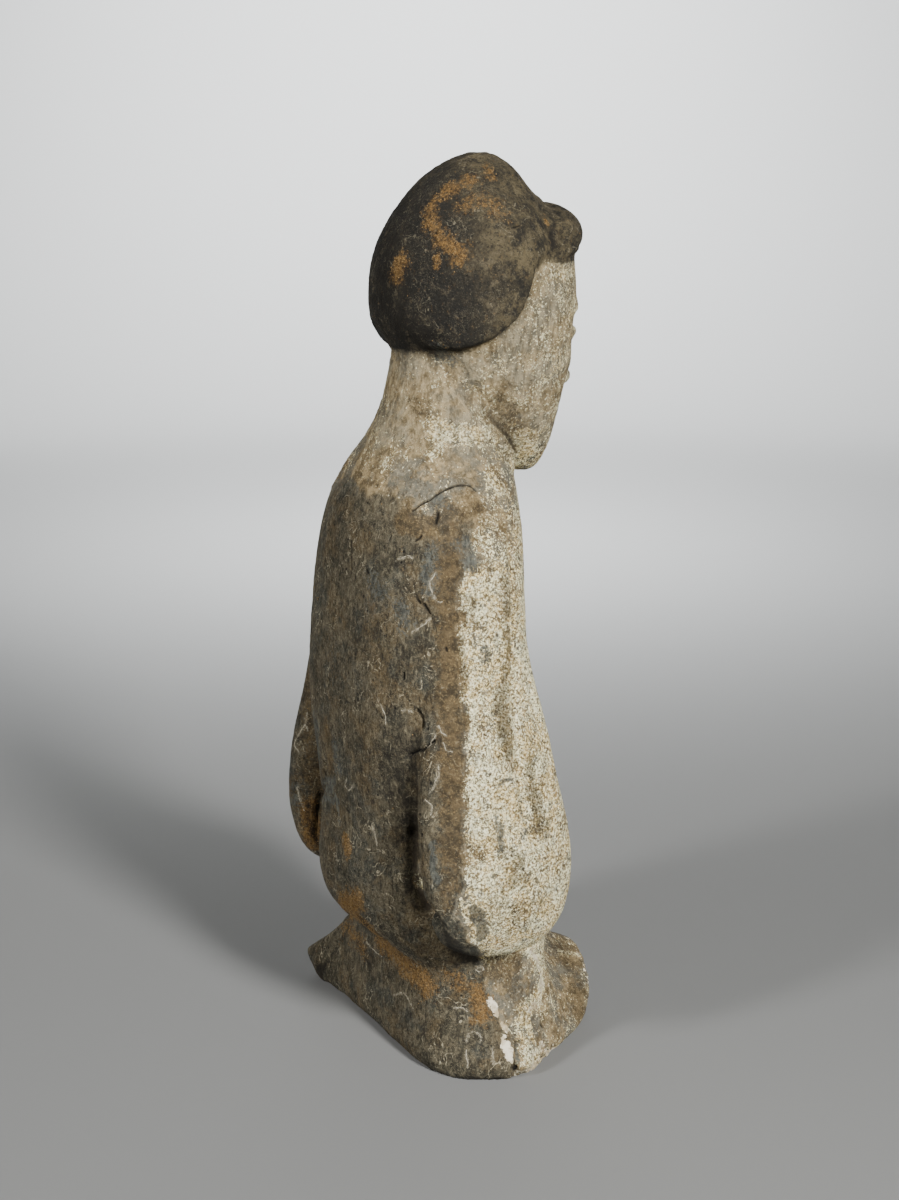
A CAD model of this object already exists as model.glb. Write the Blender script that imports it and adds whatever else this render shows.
"""The looks of the tomb figure: an old moulded attendant of grey fired clay.

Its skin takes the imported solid's form. Folds, cracks and chips are pressed into it, and coverings
are laid over it: worn white slip, brown earth, rust-coloured crust, black hair paint and chalky
root traces. Marks on the side that the picture shows are placed through its own camera.
"""

import math

import bmesh
import bpy
import numpy as np
from mathutils import Matrix, Vector, noise
from mathutils.bvhtree import BVHTree


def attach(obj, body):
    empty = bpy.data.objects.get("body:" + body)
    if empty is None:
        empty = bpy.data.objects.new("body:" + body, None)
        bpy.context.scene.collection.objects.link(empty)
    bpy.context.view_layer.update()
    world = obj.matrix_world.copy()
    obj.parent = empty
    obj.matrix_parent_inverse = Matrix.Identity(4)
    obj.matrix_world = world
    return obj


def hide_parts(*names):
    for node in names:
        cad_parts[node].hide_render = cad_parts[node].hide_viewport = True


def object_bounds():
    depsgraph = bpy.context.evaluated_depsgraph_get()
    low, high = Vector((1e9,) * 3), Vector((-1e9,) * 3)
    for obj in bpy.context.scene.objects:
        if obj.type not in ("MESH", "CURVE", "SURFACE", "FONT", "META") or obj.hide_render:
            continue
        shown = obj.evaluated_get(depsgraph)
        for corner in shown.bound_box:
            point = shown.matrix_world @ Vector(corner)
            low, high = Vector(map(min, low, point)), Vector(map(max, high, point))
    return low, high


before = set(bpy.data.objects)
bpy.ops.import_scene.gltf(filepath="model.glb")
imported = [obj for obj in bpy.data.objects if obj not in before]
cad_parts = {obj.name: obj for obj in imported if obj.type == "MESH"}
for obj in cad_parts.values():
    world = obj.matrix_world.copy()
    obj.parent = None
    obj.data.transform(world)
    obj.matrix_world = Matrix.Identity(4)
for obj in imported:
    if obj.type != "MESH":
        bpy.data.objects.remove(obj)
cad_low, cad_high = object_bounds()

NODE = "tomb_figure"
MM = 0.001

# The picture's size, and the camera that it was taken with
PICTURE_WIDE, PICTURE_TALL = 899, 1200
LENS, SENSOR = 57.0, 36.0
CAMERA_PLACE = Vector((-0.5432, 0.309, 0.299))
CAMERA_AIM = Vector((-0.008, 0, 0.1545))

# Grain of the skin's mesh, and how close to a crack, a line of the face or the face's finest
# forms it is made finer, in millimetres
SKIN_GRAIN = 1.2
CRACK_REACH, CRACK_EDGE_REACH, FACE_REACH, FORM_REACH = 3.0, 1.5, 8.0, 2.4

# How far a groove reaches, in half widths, and how often the skin is rubbed to find its hollows
GROOVE_ENDS = 3
HOLLOW_ROUNDS = 24

# Width and strength of the chalk about a root, in millimetres and as a share
CHALK_WIDE, CHALK_STRONG = 0.55, 0.66

# Heights of the neck's foot, the chin and the head above the nape, and how far forward the head
# stands before the robe and the face before the head, in millimetres
COLLAR_HIGH, NECK_HIGH, HEAD_HIGH = 196, 200, 212
HEAD_FRONT, FACE_FRONT = -27, -36

# The noise that moves places aside is the same in every run
NOISE_SEED = 4
noise.seed_set(NOISE_SEED)


def camera_turn():
    return (CAMERA_AIM - CAMERA_PLACE).to_track_quat("-Z", "Y")


def add_camera():
    camera = bpy.data.objects.new("camera", bpy.data.cameras.new("camera"))
    camera.data.sensor_width = SENSOR
    camera.data.lens = LENS
    camera.data.clip_start = 0.01
    camera.location = CAMERA_PLACE
    camera.rotation_euler = camera_turn().to_euler()
    bpy.context.scene.collection.objects.link(camera)
    bpy.context.scene.camera = camera


def smooth_step(x):
    x = np.clip(x, 0, 1)
    return x * x * (3 - 2 * x)


def through(points, spacing):
    """A smooth line through the given points, with its own points about as far apart as asked."""
    rows = np.array(points, float)
    if len(rows) == 1:
        return rows
    padded = np.vstack([2 * rows[0] - rows[1], rows, 2 * rows[-1] - rows[-2]])
    found = []
    for i in range(1, len(padded) - 2):
        before, start, end, after = padded[i - 1 : i + 3]
        steps = max(1, int(np.linalg.norm(end - start) / spacing))
        for step in range(steps):
            t = step / steps
            bend = (2 * before - 5 * start + 4 * end - after) * t**2
            twist = (3 * start - before - 3 * end + after) * t**3
            found.append((2 * start + (end - before) * t + bend + twist) / 2)
    found.append(rows[-1])
    return np.array(found)


def tree_of(mesh):
    corners = [vertex.co.copy() for vertex in mesh.vertices]
    return BVHTree.FromPolygons(corners, [tuple(p.vertices) for p in mesh.polygons])


class Solid:
    """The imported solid, for finding the place on it that a point of the picture shows."""

    def __init__(self, mesh):
        self.tree = tree_of(mesh)
        self.turn = camera_turn()

    def seen(self, px, py):
        """The place shown at a point of the picture, in millimetres."""
        per_pixel = SENSOR / PICTURE_TALL / LENS
        across = (px - PICTURE_WIDE / 2) * per_pixel
        up = (PICTURE_TALL / 2 - py) * per_pixel
        ray = self.turn @ Vector((across, up, -1))
        hit = self.tree.ray_cast(CAMERA_PLACE, ray)[0]
        if hit is None:
            aim = (CAMERA_AIM - CAMERA_PLACE).length
            hit = self.tree.find_nearest(CAMERA_PLACE + ray * aim)[0]
        return np.array(hit) / MM

    def seen_line(self, points):
        return np.array([self.seen(*point) for point in through(points, 3.0)])

    def near_line(self, points):
        """A line through points in millimetres, laid on the solid's skin."""
        found = []
        for point in through(points, 1.0):
            found.append(np.array(self.tree.find_nearest(Vector(point) * MM)[0]) / MM)
        return np.array(found)


solid = Solid(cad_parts[NODE].data)


def mirrored(line):
    return np.array(line, float) * [-1, 1, 1]


def line_distance(places, line, reach):
    """How far each place is from a line, and no more than the given reach."""
    found = np.full(len(places), float(reach))
    low, high = line.min(0) - reach, line.max(0) + reach
    near = np.flatnonzero(((places > low) & (places < high)).all(1))
    some = places[near]
    best = np.full(len(near), float(reach))
    if len(line) == 1:
        best = np.minimum(best, np.linalg.norm(some - line[0], axis=1))
    for start, end in zip(line, line[1:]):
        along = end - start
        share = np.clip((some - start) @ along / max(along @ along, 1e-9), 0, 1)
        foot = start + share[:, None] * along
        best = np.minimum(best, np.linalg.norm(some - foot, axis=1))
    found[near] = best
    return found


# Cracks and pits, as the picture's points, half width and depth in millimetres
CRACKS = [
    (
        [(412, 511), (423, 503), (430, 500), (436, 495), (447, 489), (457, 485.5), (464, 485)],
        0.34, 0.8,
    ),
    ([(464, 485), (470, 486), (476, 491)], 0.25, 0.3),
    ([(438, 513), (437.5, 518), (436, 523)], 0.45, 0.9),
    ([(424.5, 605), (426, 608), (430, 614)], 0.5, 1.0),
    ([(432, 618), (436, 628), (437, 634)], 0.16, 0.3),
    ([(417.5, 710), (420, 713), (423, 720), (422.5, 727)], 0.44, 1.1),
    ([(411, 755), (419, 750), (422, 751), (428, 745), (434, 741)], 0.44, 1.1),
    ([(415, 541), (419, 538.5), (421, 536)], 0.4, 0.6),
    ([(351.5, 541), (351.5, 556), (352, 569)], 0.35, 0.5),
    ([(418, 601), (420, 603)], 0.45, 0.7),
    ([(328.5, 679), (329, 684)], 0.45, 0.8),
    ([(403.5, 673), (403.5, 679)], 0.5, 0.8),
    ([(446, 648), (447, 651)], 0.4, 0.6),
    ([(366, 570), (368, 573)], 0.35, 0.5),
    ([(389, 540), (391, 536)], 0.3, 0.4),
    ([(509, 1027), (512, 1037), (515, 1045), (514.5, 1059), (516.5, 1072)], 0.4, 0.8),
    ([(512, 1042), (517, 1041.5), (521, 1040)], 0.3, 0.5),
    ([(516, 1068), (516.7, 1077)], 1.1, 1.7),
    ([(541, 1025), (543, 1027)], 0.5, 0.5),
    ([(436, 232), (437, 234)], 0.3, 0.3),
    ([(513, 228), (519, 226)], 0.35, 0.5),
]

# Soft folds pressed into the skin, or ridges raised where the depth is below nought
FOLDS = [
    ([(408, 780), (409, 795), (410, 806)], 3.0, -1.3),
    ([(413, 812), (415, 832)], 1.4, 1.2),
    ([(414, 836), (413, 856), (415, 880), (424, 905), (437, 930)], 2.7, 3.2),
    ([(419, 817), (422, 845), (425, 868), (434, 898), (440, 921)], 0.9, -0.45),
    ([(425, 818), (433, 831), (437, 849), (438, 870), (437, 886)], 1.1, -0.5),
    ([(325, 762), (324, 782), (319, 802), (317, 822), (316, 840)], 1.1, 1.3),
    ([(344, 901), (359, 912), (377, 925), (397, 936), (413, 949), (427, 958)], 1.0, -0.7),
    ([(339, 910), (356, 922), (375, 935), (396, 946), (412, 957), (430, 966)], 1.6, 0.6),
    ([(541, 207), (543, 219), (550, 226), (559, 234), (556, 246), (551, 254)], 0.9, 0.9),
    ([(470, 155), (482, 163), (492, 181), (505, 190), (520, 196)], 1.0, 0.55),
    ([(459, 905), (463, 930), (470, 943), (487, 950)], 1.0, -0.3),
    ([(493, 1003), (498, 1011), (508, 1028), (512, 1040), (514, 1058)], 0.9, -0.5),
]

# Folds that lie alike on both sides, as the picture's points
PAIRED_FOLDS = [
    ([(557, 251), (565, 250), (574, 249)], 2.2, -1.5),
    ([(503, 512), (509, 545), (512, 590), (512, 640), (513, 700), (516, 750)], 1.0, 1.0),
    ([(516, 750), (519, 790), (524, 818), (528, 832), (533, 847)], 0.9, 1.2),
    ([(517, 600), (518, 650), (519, 700), (522, 750), (526, 790)], 1.2, -0.45),
]

# Folds given as points in millimetres: at the nape, and under the forelock
PLACED_FOLDS = [
    ([(-22, 15, 239.5), (0, 19, 239), (22, 15, 239.5)], 3.6, 1.5),
    ([(-12, -48, 275), (0, -50, 275), (12, -48, 275)], 4.5, 0.7),
    ([(-9, -46, 268), (0, -48, 268), (9, -46, 268)], 2.2, -1.3),
    ([(0, -33, 126), (0, -35, 110), (0, -35, 98), (0, -33, 86)], 1.2, 2.2),
    ([(-25, -4, 212), (-25, -15, 202), (-15, -26, 190), (0, -25, 172), (14, -25, 156)], 0.7, 1.1),
    ([(-15, -14, 211), (-9, -22, 198), (5, -24, 181), (19, -24, 164)], 0.7, 1.0),
    ([(25, -4, 212), (25, -15, 202), (15, -26, 190), (10, -26, 184)], 0.7, 1.1),
    ([(15, -14, 211), (9, -22, 198), (6, -24, 192)], 0.6, 0.8),
    ([(7, -26, 84), (9, -29, 66), (10, -29, 46), (13, -40, 26), (15, -50, 16)], 0.9, 1.4),
    ([(5, -26, 84), (7, -29, 66), (8, -29, 46), (11, -40, 26), (13, -50, 16)], 1.2, -0.6),
]

# Folds given for the right side in millimetres, and laid on both: the hair's edge at the temple,
# the sleeves' mouths, the cloth that hangs from the forearms, and the skirt under it
TWIN_FOLDS = [
    ([(-14, -44, 271), (-20, -36, 268), (-23, -28, 262)], 1.0, 0.7),
    ([(-12, -35, 122), (-13.5, -36, 110), (-12.5, -35, 96)], 0.9, 1.5),
    ([(-15, -34, 121), (-16.5, -36, 110), (-15.5, -35, 96)], 1.2, -0.8),
    ([(-6, -34, 88), (-18, -32, 82), (-32, -29, 72), (-42, -25, 60)], 1.6, 2.0),
    ([(-8, -35, 93), (-19, -34, 88), (-33, -31, 78), (-44, -26, 64)], 1.6, -0.9),
    ([(-20, -36, 118), (-30, -33, 104), (-41, -28, 84)], 1.4, 1.3),
    ([(-22, -33, 130), (-36, -26, 113), (-48, -20, 88)], 1.5, 1.1),
    ([(-17, -37, 104), (-26, -35, 95), (-37, -30, 76)], 1.1, 0.9),
    ([(-20, -27, 150), (-30, -22, 138), (-42, -14, 118)], 1.8, 0.8),
    ([(-14, -27, 82), (-16, -28, 60), (-20, -36, 32)], 1.6, 0.9),
    ([(-28, -22, 80), (-30, -24, 56), (-34, -32, 30)], 1.6, 0.8),
]

# The face in the upright head's millimetres: broad forms, then lids, lips and the nose's wings,
# then fine lines. Forms off the middle are given for the right side and laid on both
HEAD_MIDDLE, HEAD_TILT = (0, -16, 255), math.radians(10)
FACE_FORMS = [
    [
        ([(-15, -44, 251), (-11, -46, 251.4), (-6, -48, 250)], 2.6, 1.2),
        ([(-6.2, -48, 247)], 2.6, 1.3),
        ([(-19, -40, 255), (-12, -46, 257.4), (-5, -48, 255)], 1.9, -1.0),
        ([(-14, -45, 237)], 4.5, -0.7),
        ([(0, -50, 251), (0, -53, 238)], 2.4, -1.3),
        ([(0, -55, 232.5)], 3.2, -1.0),
        ([(-5, -47, 212.6), (0, -48, 212.4), (5, -47, 212.6)], 2.0, 0.5),
        ([(0, -48, 206.5)], 4.0, -0.9),
    ],
    [
        ([(-12.5, -46, 247.4), (-9.5, -47, 247.4)], 2.3, -0.75),
        ([(-4.4, -51, 231.2)], 2.1, -0.8),
        ([(-8, -46, 221.2), (-3, -49, 222.4), (-0.4, -49.4, 221.8)], 1.0, -0.9),
        ([(-5.5, -46, 216.8), (0, -49, 216.1), (5.5, -46, 216.8)], 1.5, -1.4),
    ],
    [
        ([(-15.6, -44, 247.8), (-11.5, -46, 250.4), (-6, -47, 247.8)], 0.6, 0.9),
        ([(-15.6, -44, 247.2), (-11.5, -46.5, 245), (-6.2, -47, 246.2)], 0.5, 0.9),
        ([(-14, -45, 242.8), (-11, -46.5, 242.2), (-7.5, -47, 243.2)], 0.7, 0.4),
        ([(-6.9, -48, 233.8), (-7.5, -48, 231), (-6.4, -48, 228.4)], 0.8, 0.9),
        ([(-2.2, -53, 228.6)], 0.8, 1.3),
        ([(0, -48, 226.6), (0, -48.5, 223.6)], 0.8, 0.5),
        (
            [(-8.8, -45, 219.4), (-3, -49, 219), (0, -49.6, 219.5), (3, -49, 219),
             (8.8, -45, 219.4)],
            0.55, 1.2,
        ),
        ([(-9.2, -45, 219.3)], 1.0, 0.6),
    ],
]

# Lines in millimetres that the face's mesh is made finer about
FACE_LINES = [
    [(-16, -44, 247), (16, -44, 247)],
    [(0, -52, 240), (0, -52, 214)],
    [(-8, -50, 219), (8, -50, 219)],
]

# The hem's rim where it has lost its edge, and where its mesh is made finer, as picture points
CHIPPED_RIM = [(519, 1076), (530, 1073), (540, 1067), (549, 1052), (560, 1047), (571, 1037)]
BROKEN_RIM = [(519, 1076), (540, 1067), (549, 1052), (571, 1037)]

# Chalky traces of roots
ROOTS = [
    [(435, 572), (430, 583), (433, 595), (437, 601), (443, 601)],
    [(430, 619), (424, 624), (419, 627.5), (412, 632)],
    [(395, 470), (400, 473), (405, 475)],
    [(401, 710), (407, 711), (412, 712)],
    [(307, 713), (305, 724), (299, 733), (294, 744), (299, 752)],
    [(305, 724), (308, 731)],
    [(443, 743), (447, 750), (452, 752)],
    [(438, 764), (438, 775), (434, 786), (430, 792)],
    [(436, 735), (432, 742), (425, 748)],
    [(297, 787), (300, 799), (305, 810)],
    [(347, 779), (345, 786), (349, 790), (354, 785)],
    [(373, 827), (375, 836), (377, 846)],
    [(393, 995), (404, 993), (409, 1001), (413, 1008)],
    [(453, 1008), (461, 1008), (468, 1011)],
    [(466, 1042), (469, 1034), (474, 1032), (480, 1035), (481, 1041)],
    [(492, 1048), (493, 1057), (493, 1066)],
    [(466, 1050), (467, 1059), (467.5, 1067)],
    [(476, 967), (480, 965), (483, 969), (480, 972), (476, 970)],
    [(378, 700), (384, 712), (386, 724)],
    [(446, 735), (441, 731), (438, 726)],
    [(367, 942), (374, 950), (383, 957)],
    [(425, 800), (432, 806), (430, 815)],
    [(397, 560), (408, 556), (412, 559)],
]

# Where the slip of the robe ends towards the back, from the shoulder down to the floor
SLIP_EDGE = [
    (487, 470), (478, 500), (474, 540), (460, 556), (460, 600), (460, 640), (461, 700),
    (466, 760), (464, 805), (463, 850), (464, 885), (458, 915), (468, 940),
    (484, 965), (490, 1000), (503, 1027), (509, 1050), (516, 1072),
]

# Strokes of each covering: the picture's points, half width in millimetres, how strong, and how
# much of the half width its soft border takes, which is all of it where no number is given
STROKES = {
    "slip": [
        ([(478, 552), (490, 556)], 2.6, 0.75, 0.7),
        ([(490, 478), (500, 492)], 4.0, 0.8, 0.7),
        ([(440, 432), (480, 438)], 5.5, 1.0, 0.9),
        ([(430, 425), (436, 452)], 4.0, 0.75, 0.9),
        ([(494, 444), (503, 455)], 3.4, 0.95, 0.6),
        ([(527, 949), (535, 961), (538, 974)], 2.0, 0.8, 0.8),
        ([(536, 985), (536, 998), (528, 1010)], 1.5, 0.72, 0.8),
        ([(539, 833), (539, 845)], 2.4, 1.0, 0.4),
        ([(512, 1000), (518, 1020), (524, 1040)], 2.4, 0.62, 0.9),
        ([(530, 948), (538, 962), (542, 982), (538, 998)], 2.0, 1.15, 0.5),
        ([(530, 1000), (526, 1018), (532, 1036)], 2.2, 1.1, 0.5),
        ([(530, 1062), (544, 1050)], 3.0, 1.1, 0.6),
        ([(520, 1010), (524, 1040), (528, 1060)], 4.0, 0.8),
    ],
    "earth": [
        (
            [(449, 515), (448, 560), (448, 600), (450, 660), (450, 720), (453, 790), (452, 850)],
            4.6, 0.85, 0.8,
        ),
        ([(452, 850), (450, 885), (447, 905)], 3.6, 0.7, 0.8),
        ([(461, 560), (461, 640), (462, 700), (466, 760)], 1.2, 0.7, 0.9),
        ([(506, 580), (508, 640), (505, 690), (509, 740), (513, 765)], 2.4, 0.7),
        ([(496, 690), (500, 712)], 3.0, 0.66, 0.9),
        ([(532, 790), (536, 808), (540, 824)], 3.4, 0.72, 0.8),
        ([(520, 860), (512, 880)], 4.0, 0.6),
        ([(470, 915), (500, 930), (530, 925)], 6.0, 0.4),
        ([(470, 500), (478, 515)], 5.0, 0.7, 0.9),
        ([(500, 400), (510, 430), (506, 455)], 4.5, 0.66),
        ([(494, 965), (512, 962)], 4.6, 0.95, 0.6),
        ([(562, 945), (575, 975), (578, 1005)], 5.0, 0.7, 0.9),
        ([(415, 402), (425, 410)], 4.0, 0.5),
        ([(402, 520), (416, 522), (430, 524)], 3.6, 1.0, 0.5),
        ([(404, 528), (428, 530)], 2.0, 0.9, 0.8),
        ([(461, 640), (462, 690)], 2.0, 0.8, 0.9),
        ([(471, 600), (474, 625)], 2.2, 0.62),
        ([(500, 700), (505, 730), (508, 752)], 3.4, 0.85, 0.8),
        ([(530, 760), (534, 800), (541, 830)], 3.6, 0.66),
        ([(519, 862), (524, 880)], 3.2, 0.62),
        ([(540, 900), (520, 915), (495, 905)], 5.0, 0.5),
        ([(500, 960), (512, 985), (520, 1005)], 5.0, 0.55),
        ([(548, 935), (562, 955)], 5.0, 0.62, 0.9),
        ([(292, 725), (288, 765), (291, 795)], 3.4, 0.6),
        ([(372, 600), (375, 660), (380, 700)], 5.0, 0.42),
        ([(330, 640), (335, 700)], 5.0, 0.42),
    ],
    "rust": [
        ([(334, 912), (347, 906), (360, 918), (372, 930)], 4.2, 0.9),
        ([(345, 925), (365, 948)], 4.0, 0.5),
        ([(380, 938), (400, 955), (415, 972), (426, 984)], 4.8, 0.8),
        ([(402, 968), (420, 984)], 3.0, 0.66),
        ([(450, 975), (466, 985), (484, 1002)], 3.8, 0.5),
        ([(476, 992), (482, 1014)], 3.4, 0.8),
        ([(345, 840), (348, 849)], 2.8, 0.85, 0.9),
        ([(472, 179), (455, 186), (440, 197), (431, 206), (430, 220)], 2.8, 0.62),
        ([(430, 214), (435, 232), (446, 242)], 3.0, 0.66),
        ([(440, 240), (450, 248), (460, 258)], 3.4, 0.74),
        ([(401, 264), (398, 274)], 3.2, 0.9),
        ([(435, 263)], 1.6, 0.8, 0.9),
        ([(546, 219), (549, 226)], 1.2, 0.9, 0.8),
        ([(466, 205), (480, 200), (500, 212)], 3.4, 0.46),
        ([(308, 804), (311, 828), (316, 846)], 3.4, 0.78, 0.9),
        ([(485, 165), (493, 178)], 1.8, 0.5, 0.9),
    ],
    "chip": [
        ([(489, 1000), (494, 1008)], 1.2, 1.0, 0.4),
        ([(494, 1008), (501, 1021), (507, 1031)], 0.75, 0.9, 0.5),
        ([(504, 1037), (506, 1045)], 1.1, 1.0, 0.4),
        ([(506, 1045), (509, 1054)], 1.6, 1.0, 0.4),
        ([(509, 1054), (511, 1061)], 0.9, 1.0, 0.4),
        ([(558, 925), (578, 952), (588, 979), (591, 1002)], 0.5, 0.7, 0.6),
        ([(518, 1076), (530, 1072), (541, 1066)], 1.5, 0.85, 0.6),
        ([(541, 1066), (547, 1056), (551, 1049)], 1.2, 0.8, 0.7),
        ([(551, 1049), (560, 1047), (571, 1038)], 1.0, 0.85, 0.6),
        ([(530, 1062), (545, 1045)], 3.2, 0.42),
        ([(531, 950), (537, 962), (541, 976), (541, 992)], 1.4, 0.62, 0.9),
        ([(538, 1000), (529, 1012)], 1.4, 0.6, 0.9),
    ],
    "blue": [
        ([(462, 545), (470, 560)], 3.4, 1.0, 0.7),
        ([(476, 908), (481, 925), (484, 937)], 2.2, 1.0, 0.6),
        ([(497, 820), (500, 850)], 1.8, 0.75, 0.7),
        ([(484, 650), (488, 655)], 2.0, 0.85, 0.7),
        ([(440, 545), (434, 560), (430, 590)], 3.8, 0.75, 0.9),
        ([(372, 580), (380, 590)], 4.4, 0.6),
        ([(400, 610), (405, 622)], 5.0, 0.6),
        ([(434, 845), (436, 880)], 1.8, 0.95, 0.6),
        ([(335, 745), (337, 770)], 3.6, 0.6, 0.9),
        ([(291, 748), (289, 790), (292, 828)], 1.6, 0.8, 0.8),
        ([(440, 503), (448, 508)], 2.8, 0.75, 0.9),
        ([(435, 350), (450, 362)], 3.5, 0.6, 0.9),
        ([(498, 782), (513, 773)], 1.2, 0.7, 0.8),
        ([(516, 1045), (518, 1060)], 1.2, 0.8, 0.8),
    ],
    "soot": [
        ([(414, 826), (413, 850), (414, 880)], 2.8, 0.95, 0.9),
        ([(413, 880), (424, 905), (436, 925)], 3.0, 0.8, 0.9),
        ([(325, 764), (324, 782), (320, 802), (317, 830)], 0.9, 0.9, 0.6),
        ([(446, 940), (458, 952), (470, 958)], 3.2, 1.0, 0.7),
        ([(400, 322), (412, 334), (425, 345)], 6.0, 0.7),
        ([(388, 250), (384, 300)], 6.0, 0.5),
        ([(410, 745), (400, 775), (405, 800)], 8.0, 0.5),
        ([(440, 1078), (475, 1080), (511, 1080)], 1.6, 0.9, 0.8),
        ([(305, 965), (320, 973)], 2.2, 0.9, 0.8),
        ([(543, 222), (556, 248)], 2.0, 0.7, 0.9),
        ([(360, 950), (372, 965)], 4.0, 0.5),
    ],
}

# The same coverings on the sides that the picture doesn't show, as points in millimetres
HIDDEN_STROKES = {
    "slip": [
        ([(22, -44, 12), (30, -36, 22)], 2.0, 0.95, 0.5),
        ([(-12, -52, 20), (-16, -47, 28)], 1.8, 0.9, 0.5),
        ([(52, 2, 150), (56, 4, 120)], 3.0, 0.85, 0.8),
    ],
    "earth": [
        ([(0, -26, 150), (3, -24, 90), (4, -25, 50)], 7.0, 0.72),
        ([(58, -10, 100), (60, 4, 70)], 5.0, 0.7),
        ([(12, -46, 190), (0, -44, 200)], 5.0, 0.55),
        ([(0, -50, 20), (24, -42, 20)], 6.0, 0.7),
        ([(40, 28, 120), (42, 28, 60)], 5.0, 0.6),
    ],
    "rust": [
        ([(40, -18, 36), (28, -26, 33), (8, -30, 34)], 3.6, 0.9, 0.9),
        ([(20, 26, 36), (38, 22, 32)], 3.8, 0.85, 0.9),
        ([(26, 10, 285), (30, 0, 272)], 2.6, 0.9, 0.9),
        ([(0, -42, 118), (0, -42, 92)], 2.0, 0.6, 0.9),
    ],
    "blue": [
        ([(58, 10, 90), (59, 4, 80)], 3.0, 0.9, 0.8),
        ([(20, 36, 110), (24, 36, 95)], 5.0, 0.7),
        ([(-20, -24, 140), (-24, -20, 125)], 3.0, 0.7),
    ],
    "chip": [
        ([(30, -50, 8), (18, -55, 8), (4, -57, 9)], 0.5, 0.7, 0.6),
        ([(56, -8, 3), (50, 8, 3)], 0.7, 0.8, 0.6),
    ],
    "soot": [
        ([(40, 31, 72), (41, 30, 62), (40, 27, 54)], 1.2, 0.8, 0.9),
        ([(0, -34, 86), (0, -30, 60)], 2.6, 0.6),
        ([(44, -10, 46), (50, 0, 43)], 3.0, 0.9, 0.9),
    ],
}


def wandering(places, step, reach):
    """Places moved aside by a few millimetres, so that what is laid by them has broken edges."""
    found = np.array([noise.noise_vector(Vector(place) / step) for place in places])
    return places + found * reach


def strokes_of(name):
    """Every stroke of a covering, with its line laid on the skin."""

    def stroke(lay, points, wide, strong, soft=1.0):
        return lay(points), wide, strong, soft

    if name == "chalk":
        return [stroke(solid.seen_line, points, CHALK_WIDE, CHALK_STRONG) for points in ROOTS]
    found = [stroke(solid.seen_line, *row) for row in STROKES[name]]
    return found + [stroke(solid.near_line, *row) for row in HIDDEN_STROKES[name]]


def brushed(places, strokes):
    """How strongly strokes cover each place, from 0 to 1."""
    cover = np.zeros(len(places))
    for line, wide, strong, soft in strokes:
        outer = wide * (1 + soft)
        inner = wide * (1 - soft)
        away = line_distance(places, line, outer)
        cover = np.maximum(cover, strong * smooth_step((outer - away) / (outer - inner)))
    return cover


def bake(obj):
    """Makes an object's modifiers into its plain mesh."""
    graph = bpy.context.evaluated_depsgraph_get()
    mesh = bpy.data.meshes.new_from_object(obj.evaluated_get(graph))
    obj.modifiers.clear()
    obj.data = mesh


def linked(name, mesh):
    obj = bpy.data.objects.new(name, mesh)
    bpy.context.scene.collection.objects.link(obj)
    return obj


def corners_of(mesh, what):
    found = np.empty(len(mesh.vertices) * 3)
    mesh.vertices.foreach_get(what, found)
    return found.reshape(-1, 3)


def places_of(mesh):
    return corners_of(mesh, "co") / MM


def normals_of(mesh):
    return corners_of(mesh, "normal")


def set_places(mesh, places):
    mesh.vertices.foreach_set("co", (places * MM).ravel())
    mesh.update()


def even_skin():
    """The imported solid's skin as an even mesh, with its facets rubbed away."""
    bm = bmesh.new()
    bm.from_mesh(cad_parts[NODE].data)
    bmesh.ops.remove_doubles(bm, verts=bm.verts, dist=1e-6)
    mesh = bpy.data.meshes.new("skin")
    bm.to_mesh(mesh)
    bm.free()
    skin = linked("skin", mesh)
    remesh = skin.modifiers.new("even", "REMESH")
    remesh.mode = "VOXEL"
    remesh.voxel_size = SKIN_GRAIN * MM
    rub = skin.modifiers.new("rubbed", "SMOOTH")
    rub.factor = 0.5
    rub.iterations = 3
    bake(skin)
    return skin


def made_finer(skin, lines, reach):
    """Splits the skin's edges near the given lines."""
    bm = bmesh.new()
    bm.from_mesh(skin.data)
    places = places_of(skin.data)
    near = np.zeros(len(places), bool)
    for line in lines:
        near |= line_distance(places, line, reach) < reach
    bm.verts.ensure_lookup_table()
    split = [e for e in bm.edges if near[e.verts[0].index] and near[e.verts[1].index]]
    bmesh.ops.subdivide_edges(bm, edges=split, cuts=1, use_grid_fill=True, smooth=0.0)
    many = [face for face in bm.faces if len(face.verts) > 4]
    bmesh.ops.triangulate(bm, faces=many)
    bm.to_mesh(skin.data)
    bm.free()


def pressed(skin, marks):
    """Presses grooves along lines into the skin, or raises ridges, one after another."""
    mesh = skin.data
    for line, wide, depth in marks:
        places, normals = places_of(mesh), normals_of(mesh)
        ends = wide * GROOVE_ENDS
        away = line_distance(places, line, ends)
        push = depth * np.exp(-((away / wide) ** 2)) * (away < ends)
        set_places(mesh, places - normals * push[:, None])


def face_marks(forms, tree):
    """The face's forms as lines that are tilted with the head and laid on a skin."""
    tilt, middle = Matrix.Rotation(HEAD_TILT, 3, "X"), Vector(HEAD_MIDDLE)
    found = []
    for points, wide, depth in forms:
        for side in [points, mirrored(points)] if points[-1][0] < 0 else [points]:
            turned = [tuple(tilt @ (Vector(point) - middle) + middle) for point in side]
            line = [tree.find_nearest(Vector(point) * MM)[0] for point in through(turned, 0.5)]
            found.append((np.array(line) / MM, wide, depth))
    return found


def carved_face(skin):
    """Works the face's forms into the skin, each group laid on what the last one left."""
    for forms in FACE_FORMS:
        pressed(skin, face_marks(forms, tree_of(skin.data)))


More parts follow.
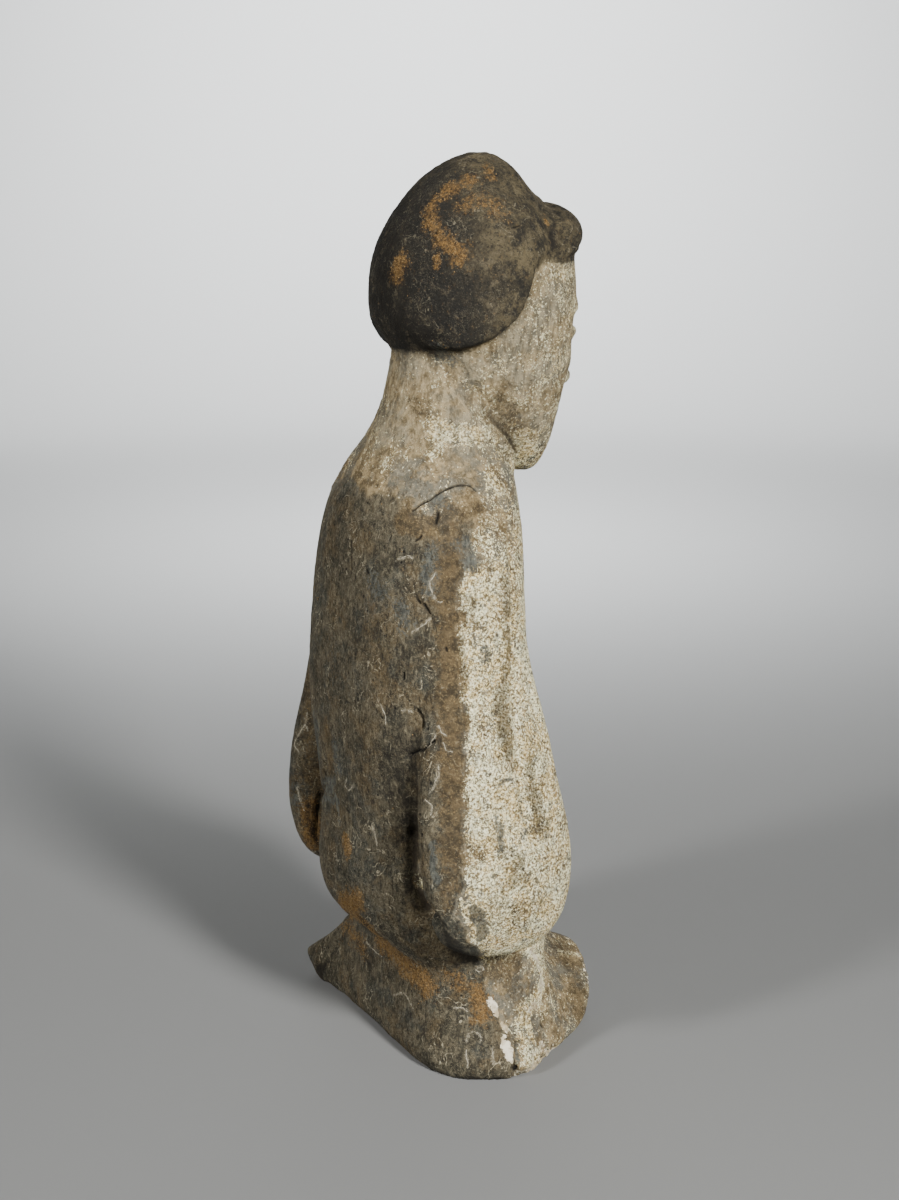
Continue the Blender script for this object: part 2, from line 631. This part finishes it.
def neighbour_mean(values, edges, count):
    """Each corner's mean of its neighbours' values."""
    total = np.zeros((count, values.shape[1]))
    number = np.zeros(count)
    for a, b in ((0, 1), (1, 0)):
        np.add.at(total, edges[:, a], values[edges[:, b]])
        np.add.at(number, edges[:, a], 1)
    return total / np.maximum(number, 1)[:, None]


def hollowness(mesh, rounds):
    """How far each place lies below the skin around it, in millimetres."""
    edges = np.empty(len(mesh.edges) * 2, int)
    mesh.edges.foreach_get("vertices", edges)
    edges = edges.reshape(-1, 2)
    places = places_of(mesh)
    rubbed = places
    for _ in range(rounds):
        rubbed = neighbour_mean(rubbed, edges, len(places))
    return ((rubbed - places) * normals_of(mesh)).sum(1)


# The lower edge of the hair from the side: Y, and Z in millimetres
HAIR_EDGE = [(-60, 264.5), (-30, 264.8), (-24, 266), (-18.5, 263), (-15.5, 256), (-12, 249),
             (-5, 242.5), (5, 238.4), (16, 236.8), (60, 236.4)]


def hair_share(places):
    """Nought on the skin below the hair, and one on the hair."""
    edge = np.interp(places[:, 1], *zip(*HAIR_EDGE))
    return smooth_step((places[:, 2] - edge + 0.9) / 1.8)


def slip_share(places):
    """How much white slip is left: most on the sleeves' sides and the front, little on the back."""
    x, y, z = places.T
    edge = np.array([solid.seen(*point) for point in SLIP_EDGE])
    edge = edge[np.argsort(edge[:, 2])]
    line = np.interp(z, edge[:, 2], edge[:, 1])
    line = np.where(x > 0, line - 3.0, line)
    ahead = smooth_step((line - y) / 3.0 + 0.5)
    heights = [0, 34, 42, 60, 90, 160, 186, 200]
    on_side = np.interp(z, heights, [0.56, 0.44, 0.86, 0.9, 0.94, 0.92, 0.6, 0.6])
    inward = smooth_step((52 - np.abs(x)) / 14) * smooth_step((-10 - y) / 6)
    uneven = np.array([noise.noise(Vector(place) / 15) for place in places])
    on_front = on_side + (0.88 - on_side) * inward * smooth_step((z + 10 * uneven - 20) / 30)
    on_back = np.interp(z + 12 * uneven, [0, 186, 200, 214], [0.0, 0.04, 0.4, 0.6])
    robe = on_back + (on_front - on_back) * ahead
    head = np.interp(y, [-46, -40, -10, 10], [0.98, 0.7, 0.54, 0.42])
    is_head = (z > HEAD_HIGH) | ((y < HEAD_FRONT) & (z > COLLAR_HIGH))
    return np.where(is_head, head, robe)


def chipped_rim(skin):
    """Breaks the rim of the hem unevenly where it has lost its edge."""
    mesh = skin.data
    reach, deepest, hem_middle = 4.0, 1.1, [0, -8, 0]
    places = places_of(mesh)
    near = 1 - smooth_step(line_distance(places, solid.seen_line(CHIPPED_RIM), reach) / reach)
    x, y, z = places.T
    jag = np.abs(np.sin(x * 0.9 + 1.7 * np.sin(y * 0.55))) + 0.6 * np.abs(np.sin(y * 1.7 + z * 0.8))
    out = places - hem_middle
    out[:, 2] = 0
    out /= np.linalg.norm(out, axis=1)[:, None]
    set_places(mesh, places - out * (near * jag * deepest)[:, None])


class Graph:
    """A node tree, with short ways to add the nodes that this object's finishes are made of."""

    def __init__(self, tree):
        self.tree = tree

    def node(self, kind, inputs=(), **settings):
        made = self.tree.nodes.new(kind)
        for name, value in settings.items():
            setattr(made, name, value)
        for key, value in dict(inputs).items():
            if isinstance(value, bpy.types.NodeSocket):
                self.tree.links.new(value, made.inputs[key])
            else:
                made.inputs[key].default_value = value
        return made

    def math(self, operation, a, b=0.0, c=0.0):
        inputs = {0: a, 1: b, 2: c}
        return self.node("ShaderNodeMath", inputs, operation=operation).outputs[0]

    def times(self, a, b):
        return self.math("MULTIPLY", a, b)

    def ramp(self, value, low, high, start=0.0, end=1.0):
        """A soft step of a value between two limits."""
        inputs = {"Value": value, "From Min": low, "From Max": high, "To Min": start, "To Max": end}
        found = self.node("ShaderNodeMapRange", inputs, interpolation_type="SMOOTHSTEP")
        return found.outputs[0]

    def noise(self, place, size, detail=3.0, rough=0.55, seed=0.0, twist=0.0):
        """Noise whose features are about as large as the given size in millimetres."""
        inputs = {
            "Vector": place,
            "W": seed,
            "Scale": 1 / (size * MM),
            "Detail": detail,
            "Roughness": rough,
            "Distortion": twist,
        }
        return self.node("ShaderNodeTexNoise", inputs, noise_dimensions="4D").outputs[0]

    def stretched(self, place, across, along):
        """A place whose patterns run longer up and down than across."""
        inputs = {0: place, 1: (1 / across, 1 / across, 1 / along)}
        return self.node("ShaderNodeVectorMath", inputs, operation="MULTIPLY").outputs[0]

    def cover(self, share, noise, border=0.05):
        """One where a covering with the given share lies, and nought in its gaps."""
        level = self.math("MULTIPLY_ADD", share, 0.46, 0.27)
        return self.ramp(self.math("SUBTRACT", level, noise), -border, border)


COVERINGS = ("slip", "earth", "rust", "blue", "soot", "chalk", "chip")


def geometry_graph(name, sizes):
    """A tree whose inputs are its geometry, its named sizes and its finish."""
    tree = bpy.data.node_groups.new(name, "GeometryNodeTree")
    tree.is_modifier = True
    sockets = tree.interface
    sockets.new_socket("Geometry", in_out="INPUT", socket_type="NodeSocketGeometry")
    sockets.new_socket("Geometry", in_out="OUTPUT", socket_type="NodeSocketGeometry")
    for size, value in sizes.items():
        kind = "NodeSocketInt" if isinstance(value, int) else "NodeSocketFloat"
        sockets.new_socket(size, in_out="INPUT", socket_type=kind).default_value = value
    sockets.new_socket("Finish", in_out="INPUT", socket_type="NodeSocketMaterial")
    graph = Graph(tree)
    return graph, graph.node("NodeGroupInput").outputs


def ended(graph, geometry, finish):
    """Ends a tree: its instances are made real and take their finish."""
    whole = graph.node("GeometryNodeRealizeInstances", {"Geometry": geometry})
    dressed = graph.node(
        "GeometryNodeSetMaterial", {"Geometry": whole.outputs[0], "Material": finish}
    )
    graph.node("NodeGroupOutput", {0: dressed.outputs[0]})
    return graph.tree


def named_value(graph, name):
    found = graph.node("GeometryNodeInputNamedAttribute", {"Name": name}, data_type="FLOAT")
    return found.outputs[0]


def crust_cover(graph, place):
    """One where the rust-coloured crust lies."""
    return graph.cover(named_value(graph, "rust"), graph.noise(place, 1.3, 3.0, 0.7, seed=13), 0.12)


def relief_tree():
    """Moves the skin in and out as hand-worked, worn and encrusted clay."""
    sizes = {
        "Undulation": 0.85,
        "Dents": 0.42,
        "Grain": 0.20,
        "Slip": 0.20,
        "Crust": 0.42,
        "Strands": 0.22,
    }
    graph, given = geometry_graph("worked_clay", sizes)
    place = graph.node("GeometryNodeInputPosition").outputs[0]
    normal = graph.node("GeometryNodeInputNormal").outputs[0]
    calm = named_value(graph, "calm")
    hair = named_value(graph, "hair")

    def swing(noise):
        return graph.math("SUBTRACT", noise, 0.5)

    broad = graph.times(swing(graph.noise(place, 24, 1.0, seed=3)), given["Undulation"])
    dents = graph.times(swing(graph.noise(place, 6.5, 2.0, seed=5)), given["Dents"])
    grain = graph.times(swing(graph.noise(place, 2.2, 2.0, 0.7, seed=7)), given["Grain"])
    fibre = graph.stretched(place, 1.0, 5.0)
    strand = graph.times(swing(graph.noise(fibre, 2.4, 2.0, seed=9)), given["Strands"])
    strand = graph.times(strand, hair)
    daub = graph.noise(place, 1.6, 3.0, 0.65, seed=11)
    slip = graph.cover(named_value(graph, "slip"), daub, 0.08)
    slip = graph.times(slip, given["Slip"])
    slip = graph.times(slip, graph.math("MULTIPLY_ADD", calm, -0.8, 1.0))
    crust = graph.times(crust_cover(graph, place), given["Crust"])
    worked = graph.math("ADD", graph.math("ADD", broad, dents), graph.math("ADD", grain, strand))
    worked = graph.times(worked, graph.math("SUBTRACT", 1.0, calm))
    worked = graph.math("ADD", worked, graph.math("ADD", slip, crust))
    worked = graph.times(worked, MM)
    offset = graph.node("ShaderNodeVectorMath", {0: normal, "Scale": worked}, operation="SCALE")
    moved = graph.node(
        "GeometryNodeSetPosition", {"Geometry": given["Geometry"], "Offset": offset.outputs[0]}
    )
    return ended(graph, moved.outputs[0], given["Finish"])


def run_tree(obj, tree, **values):
    """Gives an object a tree with its inputs set, and makes the result its plain mesh."""
    modifier = obj.modifiers.new(tree.name, "NODES")
    modifier.node_group = tree
    for socket in tree.interface.items_tree:
        if socket.item_type == "SOCKET" and socket.name in values:
            modifier[socket.identifier] = values[socket.name]
    bake(obj)


def scatter_tree():
    """Crumbs of earth, stuck thickest where the crust is."""
    sizes = {"Most Per Square Metre": 1.5e6, "Crumb": 0.3, "Seed": 4}
    graph, given = geometry_graph("stuck_crumbs", sizes)
    place = graph.node("GeometryNodeInputPosition").outputs[0]
    thick = graph.times(crust_cover(graph, place), given["Most Per Square Metre"])
    points = graph.node(
        "GeometryNodeDistributePointsOnFaces",
        {"Mesh": given["Geometry"], "Density": thick, "Seed": given["Seed"]},
    )
    shape = graph.node("GeometryNodeMeshIcoSphere", {"Radius": MM, "Subdivisions": 1})
    scale = graph.node(
        "FunctionNodeRandomValue", {2: 0.35, 3: 1.0, "Seed": given["Seed"]}, data_type="FLOAT"
    ).outputs[1]
    scale = graph.times(scale, given["Crumb"])
    turn = graph.node(
        "FunctionNodeRandomValue", {0: (0, 0, 0), 1: (6, 6, 6), "Seed": given["Seed"]},
        data_type="FLOAT_VECTOR",
    ).outputs[0]
    inputs = {"Points": points.outputs[0], "Instance": shape.outputs[0], "Rotation": turn}
    stuck = graph.node("GeometryNodeInstanceOnPoints", {**inputs, "Scale": scale})
    return ended(graph, stuck.outputs[0], given["Finish"])


def thread_tree():
    """Threads of uneven thickness along lines that lie on the skin."""
    graph, given = geometry_graph("root_threads", {"Thickness": 0.12, "Sides": 6})
    place = graph.node("GeometryNodeInputPosition").outputs[0]
    curve = graph.node("GeometryNodeMeshToCurve", {"Mesh": given["Geometry"]})
    uneven = graph.ramp(graph.noise(place, 2.2, 2.0, 0.7, seed=17), 0.42, 0.6, 0.15, 1.0)
    radius = graph.times(uneven, graph.times(given["Thickness"], MM))
    sized = graph.node(
        "GeometryNodeSetCurveRadius", {"Curve": curve.outputs[0], "Radius": radius}
    )
    profile = graph.node(
        "GeometryNodeCurvePrimitiveCircle", {"Resolution": given["Sides"], "Radius": 1.0}
    )
    inputs = {
        "Curve": sized.outputs[0],
        "Profile Curve": profile.outputs[0],
        "Scale": graph.node("GeometryNodeInputRadius").outputs[0],
        "Fill Caps": True,
    }
    tube = graph.node("GeometryNodeCurveToMesh", inputs)
    return ended(graph, tube.outputs[0], given["Finish"])


def tone(red, green, blue):
    """A colour given as it looks on a screen, from 0 to 255, for a shader."""
    found = []
    for part in (red, green, blue):
        part /= 255
        found.append(part / 12.92 if part <= 0.04045 else ((part + 0.055) / 1.055) ** 2.4)
    return (*found, 1.0)


class Finish(Graph):
    """A material's node tree, with its shader and the place on the object that is coloured."""

    def __init__(self, name, rough):
        self.material = bpy.data.materials.new(name)
        self.material.use_nodes = True
        super().__init__(self.material.node_tree)
        self.shader = self.tree.nodes["Principled BSDF"]
        self.shader.inputs["Roughness"].default_value = rough
        self.shader.inputs["Specular IOR Level"].default_value = 0.25
        self.place = self.node("ShaderNodeTexCoord").outputs["Object"]

    def given(self, name):
        return self.node("ShaderNodeAttribute", attribute_name=name).outputs["Fac"]

    def mix(self, share, a, b):
        inputs = {0: share, 6: a, 7: b}
        return self.node("ShaderNodeMix", inputs, data_type="RGBA").outputs[2]

    def between(self, noise, low, high, first, second):
        """One shade where a noise is low, and another where it is high."""
        return self.mix(self.ramp(noise, low, high), tone(*first), tone(*second))

    def laid(self, color, share, most, shade):
        """Lays a shade over a colour, up to a share."""
        return self.mix(self.times(share, most), color, tone(*shade))

    def spotted(self, color, *spots):
        """Lays shades over a colour where noises pass from one limit to the next, up to a share."""
        for noise, start, full, most, shade in spots:
            color = self.mix(self.ramp(noise, start, full, 0.0, most), color, tone(*shade))
        return color

    def finished(self, color, height, bump):
        """Joins colour and relief, whose height of one stands for the given millimetres."""
        inputs = {"Height": height, "Distance": bump * MM, "Strength": 1.0}
        raised = self.node("ShaderNodeBump", inputs)
        self.tree.links.new(color, self.shader.inputs["Base Color"])
        self.tree.links.new(raised.outputs[0], self.shader.inputs["Normal"])
        return self.material


def clay_finish():
    """Grey fired clay with its coverings."""
    paint = Finish("fired_clay", 0.9)
    place = paint.place
    slip, earth, rust, blue, soot, chalk, chip = [paint.given(name) for name in COVERINGS]
    hair, hollow, crack, calm = [paint.given(name) for name in ("hair", "hollow", "crack", "calm")]

    def near_middle(noise):
        return paint.math("ABSOLUTE", paint.math("SUBTRACT", noise, 0.5))

    # Patterns that several layers share, from broad clouds to single grains and fibres
    cloud = paint.noise(place, 22, 4.0, 0.66, seed=1)
    broad = paint.noise(place, 10, 3.0, 0.6, seed=18)
    mottle = paint.noise(place, 4.0, 4.0, 0.7, seed=15)
    streak = paint.noise(paint.stretched(place, 1.0, 2.2), 1.1, 3.0, 0.7, seed=4, twist=0.6)
    fleck = paint.noise(place, 0.8, 3.0, 0.75, seed=5, twist=0.4)
    crumble = paint.noise(place, 1.3, 3.0, 0.7, seed=13)
    fibre = near_middle(paint.noise(place, 2.1, 1.0, 0.6, seed=31, twist=1.8))
    second_fibre = near_middle(paint.noise(place, 1.9, 1.0, 0.6, seed=32, twist=2.0))
    warm = paint.noise(place, 13, 4.0, 0.65, seed=2)
    cool = paint.noise(place, 11, 4.0, 0.65, seed=3)

    # Bare clay: clouds of brown and blue-grey, with fine pores and a few pale fibres
    color = paint.spotted(
        paint.between(cloud, 0.42, 0.58, (58, 55, 45), (84, 78, 63)),
        (warm, 0.47, 0.62, 0.6, (96, 81, 56)),
        (cool, 0.5, 0.62, 0.7, (60, 63, 59)),
        (mottle, 0.5, 0.36, 0.65, (46, 43, 35)),
        (mottle, 0.52, 0.66, 0.4, (122, 113, 92)),
        (streak, 0.52, 0.66, 0.45, (132, 124, 101)),
        (streak, 0.48, 0.36, 0.8, (36, 33, 27)),
        (fleck, 0.47, 0.36, 0.75, (34, 31, 25)),
        (fleck, 0.56, 0.68, 0.4, (150, 142, 118)),
    )
    strand = paint.times(paint.ramp(fibre, 0.014, 0.003), paint.ramp(broad, 0.46, 0.56))
    color = paint.laid(color, strand, 0.5, (150, 141, 116))

    # Fine pale threads left by small roots
    wander = near_middle(paint.noise(place, 7.5, 2.0, 0.6, seed=6, twist=0.6))
    patches = paint.ramp(paint.noise(place, 9, 2.0, seed=8), 0.5, 0.58)
    thread = paint.times(paint.ramp(wander, 0.012, 0.0), patches)
    thread = paint.times(thread, paint.ramp(fleck, 0.4, 0.55))
    color = paint.laid(color, thread, 0.8, (178, 169, 143))

    # Single dark pores
    pores = paint.node("ShaderNodeTexVoronoi", {"Vector": place, "Scale": 1 / (2.4 * MM)}).outputs
    rare = paint.node("ShaderNodeSeparateXYZ", {0: pores["Color"]}).outputs[0]
    pore = paint.ramp(pores["Distance"], 0.24, 0.12)
    pore = paint.times(pore, paint.math("GREATER_THAN", rare, 0.88))
    color = paint.laid(color, pore, 0.9, (22, 20, 17))

    # Hair paint over the clay, blackest at the back of the head
    hair_cloud = paint.noise(place, 12, 4.0, 0.78, seed=12)
    _, back, high = paint.node("ShaderNodeSeparateXYZ", {0: place}).outputs
    black = paint.spotted(
        paint.between(hair_cloud, 0.36, 0.66, (50, 46, 36), (90, 81, 60)),
        (back, -12 * MM, 12 * MM, 0.86, (21, 22, 23)),
        (mottle, 0.52, 0.38, 0.85, (32, 31, 28)),
        (mottle, 0.54, 0.66, 0.3, (112, 102, 82)),
        (fleck, 0.48, 0.36, 0.85, (24, 22, 20)),
        (fleck, 0.57, 0.7, 0.3, (140, 130, 106)),
    )
    black = paint.laid(black, strand, 0.3, (142, 134, 112))
    black = paint.laid(black, thread, 0.45, (150, 142, 120))
    color = paint.mix(hair, color, black)

    # The ground that the slip has worn through to: tan, brown and blue-grey
    bare = paint.math("SUBTRACT", 1.0, hair)
    under = paint.spotted(
        paint.between(mottle, 0.4, 0.6, (102, 87, 60), (160, 141, 105)),
        (cool, 0.44, 0.56, 0.8, (100, 101, 93)),
        (streak, 0.5, 0.38, 0.7, (74, 63, 46)),
        (fleck, 0.52, 0.64, 0.5, (186, 170, 138)),
    )
    ground = paint.times(paint.ramp(slip, 0.14, 0.34), bare)
    color = paint.mix(paint.times(ground, 0.9), color, under)

    # White slip: short brushed fibres, closest together where most of it is left
    share = slip
    for noise, swing in ((mottle, 1.0), (broad, 1.2), (fleck, 0.9)):
        share = paint.math("MULTIPLY_ADD", paint.math("SUBTRACT", noise, 0.5), swing, share)
    lack = paint.math("MAXIMUM", paint.math("SUBTRACT", 1.06, share), 0.0)
    gap = paint.times(paint.math("POWER", lack, 1.7), 0.42)
    slip_cover = paint.ramp(paint.math("SUBTRACT", fibre, gap), -0.014, 0.016)
    slip_cover = paint.times(slip_cover, paint.ramp(slip, 0.1, 0.22))
    slip_cover = paint.times(slip_cover, bare)
    cream = paint.noise(place, 6, 3.0, 0.65, seed=19)
    white = paint.spotted(
        paint.between(cream, 0.42, 0.6, (255, 248, 200), (242, 218, 154)),
        (mottle, 0.54, 0.66, 0.6, (180, 142, 88)),
        (mottle, 0.45, 0.34, 0.6, (152, 154, 146)),
        (second_fibre, 0.042, 0.014, 0.95, (108, 88, 57)),
        (fleck, 0.49, 0.41, 0.9, (100, 84, 58)),
        (fleck, 0.52, 0.6, 0.95, (255, 252, 222)),
    )
    color = paint.mix(slip_cover, color, white)

    # A thin brushed wash of the slip over the head and neck
    wiped = paint.noise(paint.stretched(place, 1.0, 3.0), 2.4, 3.0, 0.68, seed=26, twist=0.5)
    washed = paint.between(wiped, 0.42, 0.6, (90, 81, 62), (180, 166, 132))
    wash = paint.times(paint.ramp(high, 198 * MM, 214 * MM, 0.0, 0.4), bare)
    color = paint.mix(wash, color, washed)

    # Blue-grey clay, brown earth that soaks in, and chalk about the roots
    blue_cover = paint.cover(blue, crumble, 0.06)
    bluish = paint.between(streak, 0.4, 0.6, (58, 61, 59), (92, 95, 89))
    color = paint.mix(paint.times(blue_cover, 0.78), color, bluish)
    earth_cover = paint.cover(earth, paint.noise(place, 1.2, 4.0, 0.74, seed=10, twist=0.8), 0.12)
    brown = paint.spotted(
        paint.between(mottle, 0.42, 0.6, (59, 50, 35), (92, 77, 53)),
        (fleck, 0.48, 0.36, 0.6, (58, 47, 31)),
        (fleck, 0.52, 0.66, 0.5, (146, 126, 88)),
    )
    color = paint.mix(paint.times(earth_cover, 0.78), color, brown)
    color = paint.laid(color, paint.cover(chalk, fleck, 0.1), 0.5, (176, 168, 146))

    # Rust-coloured crust, soot, and the dirt and shade in hollows
    rust_cover = paint.cover(rust, crumble, 0.16)
    orange = paint.between(fleck, 0.38, 0.62, (80, 59, 31), (138, 106, 60))
    color = paint.mix(paint.times(rust_cover, 0.8), color, orange)
    color = paint.laid(color, paint.cover(soot, mottle, 0.2), 0.85, (30, 27, 23))
    deep = paint.times(hollow, paint.math("MULTIPLY_ADD", calm, -0.75, 1.0))
    color = paint.spotted(color, (deep, 0.3, 1.4, 0.8, (46, 40, 32)))

    # Fresh chips show pale clay, and cracks are dark
    chip_cover = paint.cover(chip, paint.noise(place, 1.6, 4.0, 0.75, seed=23), 0.03)
    fresh = paint.between(mottle, 0.4, 0.6, (240, 231, 208), (186, 170, 138))
    color = paint.mix(chip_cover, color, fresh)
    color = paint.laid(color, crack, 0.97, (12, 11, 10))

    furrow = paint.times(paint.ramp(second_fibre, 0.05, 0.01), slip_cover)
    height = paint.times(slip_cover, 1.1)
    for layer, raised in ((furrow, -1.2), (fleck, 1.8), (streak, 1.4), (mottle, 2.5), (pore, -1.2)):
        height = paint.math("MULTIPLY_ADD", layer, raised, height)
    return paint.finished(color, height, 0.3)


def chalk_finish():
    """The chalky trace of a root."""
    paint = Finish("root_chalk", 0.9)
    fleck = paint.noise(paint.place, 0.7, 3.0, 0.7, seed=21)
    color = paint.between(fleck, 0.36, 0.6, (112, 104, 86), (196, 189, 170))
    return paint.finished(color, fleck, 0.15)


def crumb_finish():
    """Ochre and rust-coloured crumbs of burial earth."""
    paint = Finish("crumbs_of_earth", 0.95)
    fleck = paint.noise(paint.place, 0.9, 3.0, 0.7, seed=22)
    color = paint.between(fleck, 0.36, 0.6, (78, 62, 39), (134, 110, 74))
    return paint.finished(color, fleck, 0.2)


def give(mesh, name, values):
    attribute = mesh.attributes.get(name) or mesh.attributes.new(name, "FLOAT", "POINT")
    attribute.data.foreach_set("value", values.astype(np.float32))


def laid_folds():
    """Every fold's line on the skin, with its half width and depth."""
    found = [(solid.seen_line(points), wide, depth) for points, wide, depth in FOLDS]
    found += [(solid.near_line(points), wide, depth) for points, wide, depth in PLACED_FOLDS]
    for points, wide, depth in TWIN_FOLDS:
        for side in (points, mirrored(points)):
            found.append((solid.near_line(side), wide, depth))
    for points, wide, depth in PAIRED_FOLDS:
        line = solid.seen_line(points)
        found += [(line, wide, depth), (solid.near_line(mirrored(line)), wide, depth)]
    return found


def crack_share(places, cracks):
    """How much each place is dark with a crack, from 0 to 1."""
    share = np.zeros(len(places))
    for line, wide, _ in cracks:
        ends, dark = wide * GROOVE_ENDS, wide * 0.9
        away = line_distance(places, line, ends)
        share = np.maximum(share, np.exp(-((away / dark) ** 2)) * (away < ends))
    return share


def lay_coverings(mesh):
    """Gives the skin how much of each covering, and how much hair, lies at each place."""
    places = places_of(mesh)
    broken, jagged = wandering(places, 4.5, 2.2), wandering(places, 2.0, 1.1)
    laid_by = {"chalk": places, "chip": jagged, "soot": (places + broken) / 2}
    for name in COVERINGS:
        cover = brushed(laid_by.get(name, broken), strokes_of(name))
        if name == "slip":
            cover = np.maximum(cover, slip_share(broken))
        give(mesh, name, cover)
    give(mesh, "hair", hair_share(places))
    foot = 1 - smooth_step((places[:, 2] - 0.4) / 2.0)
    face = smooth_step((FACE_FRONT - places[:, 1]) / 6) * (places[:, 2] > NECK_HIGH) * 0.92
    give(mesh, "calm", np.maximum(foot, face))


def keep_in_box(obj):
    """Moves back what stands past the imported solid's box."""
    low, high = np.array(cad_low) / MM, np.array(cad_high) / MM
    set_places(obj.data, np.clip(places_of(obj.data), low, high))


def tomb_figure():
    """The figure's skin, with its folds, face, cracks, chips and coverings."""
    cracks = [(solid.seen_line(points), wide, depth) for points, wide, depth in CRACKS]
    skin = even_skin()
    fine = [line for line, _, _ in cracks]
    made_finer(skin, [*fine, solid.seen_line(BROKEN_RIM)], CRACK_REACH)
    made_finer(skin, [np.array(line, float) for line in FACE_LINES], FACE_REACH)
    made_finer(skin, fine, CRACK_EDGE_REACH)
    finest = face_marks(FACE_FORMS[-1], solid.tree)
    made_finer(skin, [line for line, _, _ in finest], FORM_REACH)
    pressed(skin, laid_folds())
    carved_face(skin)
    chipped_rim(skin)
    mesh = skin.data
    dark = crack_share(places_of(mesh), cracks)
    hollow = hollowness(mesh, HOLLOW_ROUNDS)
    pressed(skin, cracks)
    lay_coverings(mesh)
    give(mesh, "crack", dark)
    give(mesh, "hollow", hollow)
    run_tree(skin, relief_tree(), Finish=clay_finish())
    keep_in_box(skin)
    skin.data.polygons.foreach_set("use_smooth", [True] * len(skin.data.polygons))
    skin.name = "figure_skin"
    return skin


def crumbs(skin):
    """Crumbs of burial earth, stuck to the skin."""
    obj = linked("earth_crumbs", skin.data.copy())
    run_tree(obj, scatter_tree(), Finish=crumb_finish())
    keep_in_box(obj)
    return obj


def root_threads(skin):
    """Root traces, laid half sunk on the finished skin."""
    tree = tree_of(skin.data)
    bm = bmesh.new()
    for points in ROOTS:
        line = wandering(through(solid.seen_line(points), 0.4), 1.8, 0.45)
        last = None
        for point in line:
            spot = bm.verts.new(tree.find_nearest(Vector(point) * MM)[0])
            if last is not None:
                bm.edges.new((last, spot))
            last = spot
    lines = bpy.data.meshes.new("root_traces")
    bm.to_mesh(lines)
    bm.free()
    obj = linked("root_traces", lines)
    run_tree(obj, thread_tree(), Finish=chalk_finish())
    return obj


def backdrop():
    """A plain pale sweep: a round floor that curves up into a wall all about the object."""
    floor_reach, bend, wall_top, around = 1.5, 0.9, 1.7, 96
    profile = [(0.0, 0.0), (0.5, 0.0), (floor_reach, 0.0)]
    for step in range(1, 17):
        turn = math.radians(90 * step / 16)
        profile.append((floor_reach + bend * math.sin(turn), bend - bend * math.cos(turn)))
    profile.append((floor_reach + bend, wall_top))
    bm = bmesh.new()
    middle = bm.verts.new((0, 0, 0))
    rings = []
    for away, up in profile[1:]:
        ring = []
        for step in range(around):
            turn = math.tau * step / around
            ring.append(bm.verts.new((away * math.cos(turn), away * math.sin(turn), up)))
        rings.append(ring)
    for i in range(around):
        j = (i + 1) % around
        bm.faces.new((middle, rings[0][i], rings[0][j]))
        for inner, outer in zip(rings, rings[1:]):
            bm.faces.new((inner[i], outer[i], outer[j], inner[j]))
    mesh = bpy.data.meshes.new("backdrop")
    bm.to_mesh(mesh)
    bm.free()
    obj = linked("backdrop", mesh)
    mesh.polygons.foreach_set("use_smooth", [True] * len(mesh.polygons))
    paper = Finish("backdrop_paper", 0.8)
    paper.shader.inputs["Base Color"].default_value = tone(129, 130, 130)
    mesh.materials.append(paper.material)


def soft_light(name, right, up, ahead, size, power, color, aim=(0, 0, 0.13), spread=180):
    """A soft lamp, placed by metres to the camera's right, up, and away from the camera."""
    away = CAMERA_AIM - CAMERA_PLACE
    away.z = 0
    away.normalize()
    side = Vector((away.y, -away.x, 0))
    lamp = bpy.data.objects.new(name, bpy.data.lights.new(name, "AREA"))
    lamp.data.shape = "DISK"
    lamp.data.size = size
    lamp.data.energy = power
    lamp.data.color = color
    lamp.data.spread = math.radians(spread)
    target = side * aim[0] + away * aim[1] + Vector((0, 0, aim[2]))
    lamp.location = side * right + away * ahead + Vector((0, 0, up))
    lamp.rotation_euler = (target - lamp.location).to_track_quat("-Z", "Y").to_euler()
    bpy.context.scene.collection.objects.link(lamp)


def studio():
    world = bpy.data.worlds.new("studio_air")
    world.use_nodes = True
    world.node_tree.nodes["Background"].inputs["Color"].default_value = (0.94, 0.97, 1.0, 1)
    world.node_tree.nodes["Background"].inputs["Strength"].default_value = 0.05
    bpy.context.scene.world = world
    warm, plain = (1.0, 0.985, 0.955), (0.985, 0.995, 1.0)
    soft_light("left_lamp", -0.95, 0.74, -0.76, 0.24, 4.75, warm, spread=105)
    soft_light("right_lamp", 0.64, 0.74, -1.0, 0.24, 9.7, warm, spread=100)
    soft_light("top_lamp", 0.0, 1.7, 0.2, 0.8, 0.7, plain)
    soft_light("floor_lamp", 0.0, 0.66, 0.86, 0.4, 4.7, plain, aim=(0, 0.82, 0), spread=88)
    soft_light("far_lamp", 0.0, 1.4, 1.95, 1.2, 101.0, plain, aim=(0, 2.35, 0.1), spread=135)


add_camera()
backdrop()
studio()
figure = tomb_figure()
pieces = [figure, crumbs(figure), root_threads(figure)]
for piece in pieces:
    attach(piece, "root")
    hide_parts(NODE)
    print(piece.name, "triangles", sum(len(p.vertices) - 2 for p in piece.data.polygons))
